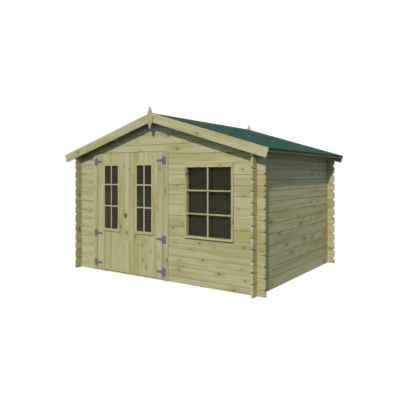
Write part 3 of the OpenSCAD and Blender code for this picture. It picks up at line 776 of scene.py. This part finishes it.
def hinge_screws(side, turn):
    """Screws in the straps on a leaf and in the plates on its post. turn is 1 where the leaf lies right of
    the pin, and -1 where it lies left of it."""
    joint = next(j for j in frame["record"]["behaviour"]["joints"] if j["child"] == side + "_door")
    pin = joint["pos_m"][0]
    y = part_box(side + "_door_leaf")[0].y - HINGE_METAL - HAIR
    on_strap = ((0.018, 0.013), (0.018, -0.013), (0.052, 0.0), (0.083, 0.0), (0.107, 0.0))
    on_plate = ((0.022, 0.044), (0.042, 0.044), (0.032, 0.0), (0.022, -0.044), (0.042, -0.044))
    screws(side + "_strap_screws", side + "_door",
           [(pin + turn * dx, y, z + dz) for z in HINGE_HEIGHTS for dx, dz in on_strap])
    screws(side + "_plate_screws", "cabin",
           [(pin - turn * dx, y, z + dz) for z in HINGE_HEIGHTS for dx, dz in on_plate])


hinge_screws("left", 1.0)
hinge_screws("right", -1.0)


# Stage, light and camera
def plain_shader(g, kind, colour, strength=None):
    """Shader of one colour, with a strength where the kind has one."""
    node = g.add("ShaderNode" + kind)
    g.put(node.inputs["Color"], colour)
    if strength is not None:
        g.put(node.inputs["Strength"], strength)
    return node.outputs[0]


def added(g, a, b):
    """Light of two shaders together."""
    return g.made(g.add("ShaderNodeAddShader"), (a, b))


def chosen(g, factor, a, b):
    """Shader a where the factor is 0, and b where it is 1."""
    return g.made(g.add("ShaderNodeMixShader"), (factor, a, b))


def lay_floor():
    """Pale floor that keeps the shadow, and throws little light back onto the object."""
    bm = bmesh.new()
    bmesh.ops.create_grid(bm, x_segments=1, y_segments=1, size=60.0)
    mesh = bpy.data.meshes.new("floor")
    bm.to_mesh(mesh)
    bm.free()
    material = bpy.data.materials.new("floor")
    material.use_nodes = True
    material.node_tree.nodes.clear()
    g = Graph(material.node_tree)
    dim = plain_shader(g, "BsdfDiffuse", (0.07, 0.08, 0.07, 1.0))
    grey = plain_shader(g, "BsdfDiffuse", (0.30, 0.30, 0.30, 1.0))
    pale = added(g, grey, plain_shader(g, "Emission", WHITE, 0.78))
    g.put(g.add("ShaderNodeOutputMaterial").inputs["Surface"], chosen(g, g.seen(), dim, pale))
    mesh.materials.append(material)
    floor = linked("floor", mesh)
    floor.location.z = -0.0005


def light_studio():
    """Pale sky that is brighter low down, in front and behind, with a soft low fill from behind and from the
    left on the sides that the key light leaves in shade. It shows as plain white."""
    world = bpy.data.worlds.new("studio")
    bpy.context.scene.world = world
    world.use_nodes = True
    world.node_tree.nodes.clear()
    g = Graph(world.node_tree)
    x, y, z = g.parts(g.add("ShaderNodeTexCoord").outputs["Generated"])
    strength = g.times(g.step(z, 0.0, 0.9, 0.66, 0.23), g.scaled(g.times(y, y), 1.25, 0.64))
    sky = plain_shader(g, "Background", (0.57, 0.88, 1.02, 1.0), strength)
    away = g.scaled(x, -0.75, g.times(y, 0.66))
    strength = g.times(g.step(away, 0.2, 1.0, 0.0, 1.35), g.step(z, 0.55, 0.1))
    fill = plain_shader(g, "Background", (1.0, 0.94, 0.80, 1.0), strength)
    white = plain_shader(g, "Background", WHITE, 1.0)
    g.put(g.add("ShaderNodeOutputWorld").inputs["Surface"], chosen(g, g.seen(), added(g, sky, fill), white))


def key_light():
    """Light from the direction of the photo's sun."""
    sun = bpy.data.lights.new("sun", "SUN")
    sun.energy = 2.95
    sun.angle = math.radians(1.5)
    sun.color = (1.0, 0.965, 0.885)
    travel = Vector((-0.272, 0.762, -0.588))
    linked("sun", sun).rotation_euler = travel.to_track_quat("-Z", "Y").to_euler()


def photo_camera():
    """Camera solved from the photo's 400 pixels: focal length in pixels, place, and turn to the left."""
    focal_pixels, photo_pixels = 451.0, 400.0
    camera = bpy.data.cameras.new("camera")
    camera.sensor_fit = "HORIZONTAL"
    camera.sensor_width = 36.0
    camera.lens = focal_pixels / photo_pixels * camera.sensor_width
    camera.shift_y = -0.064
    camera.clip_end = 200.0
    eye = linked("camera", camera)
    eye.location = (4.110, -6.189, 1.479)
    eye.rotation_euler = (math.radians(90.0), 0.0, math.radians(34.5))
    bpy.context.scene.camera = eye


lay_floor()
light_studio()
key_light()
photo_camera()
bpy.context.scene.view_settings.view_transform = "Standard"
